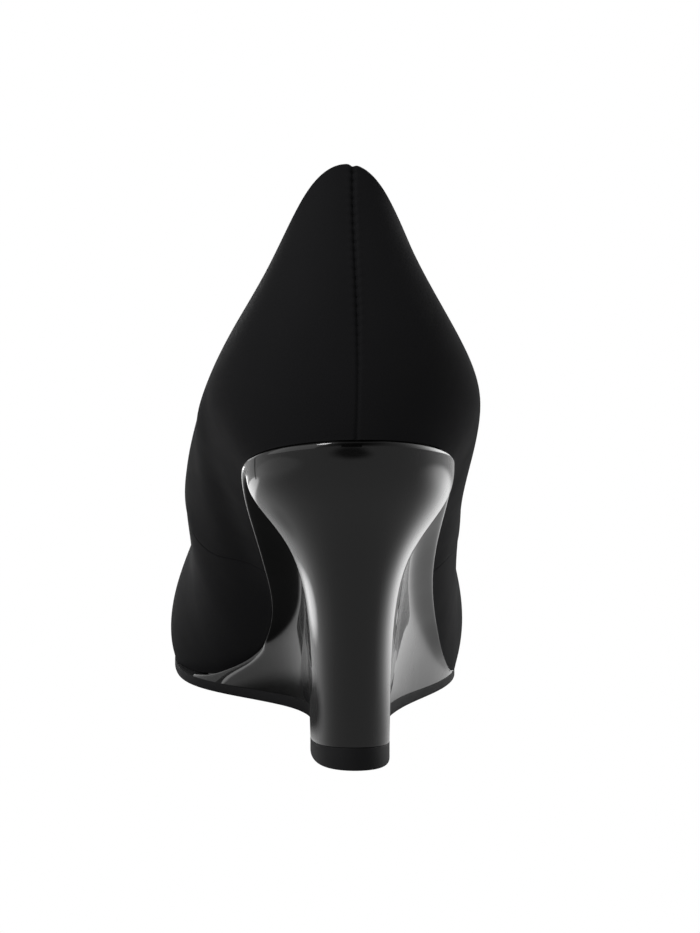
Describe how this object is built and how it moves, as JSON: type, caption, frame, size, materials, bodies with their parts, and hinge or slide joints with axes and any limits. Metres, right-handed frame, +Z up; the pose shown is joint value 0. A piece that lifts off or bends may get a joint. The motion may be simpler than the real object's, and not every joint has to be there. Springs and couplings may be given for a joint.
{
  "type": "wedge pump",
  "caption": "Woman's right pump in smooth black leather on a high hourglass wedge covered in black patent, with a thin sole and a small top piece.",
  "frame": {"origin": "centre of the top piece's face on the floor, under the heel", "axes": "+Y towards the toe along the floor, +X towards the outer side of the right foot, +Z up"},
  "size_m": [0.081, 0.238, 0.144],
  "materials": {
    "upper_leather": "smooth, satin",
    "sock_lining": "matte",
    "wedge_patent": "mirror gloss patent",
    "sole_rubber": "matte",
    "top_piece_plastic": "matte"
  },
  "bodies": {
    "root": {"upper": "upper_leather", "insole": "sock_lining", "wedge": "wedge_patent", "outsole": "sole_rubber", "top_piece": "top_piece_plastic"}
  },
  "joints": []
}
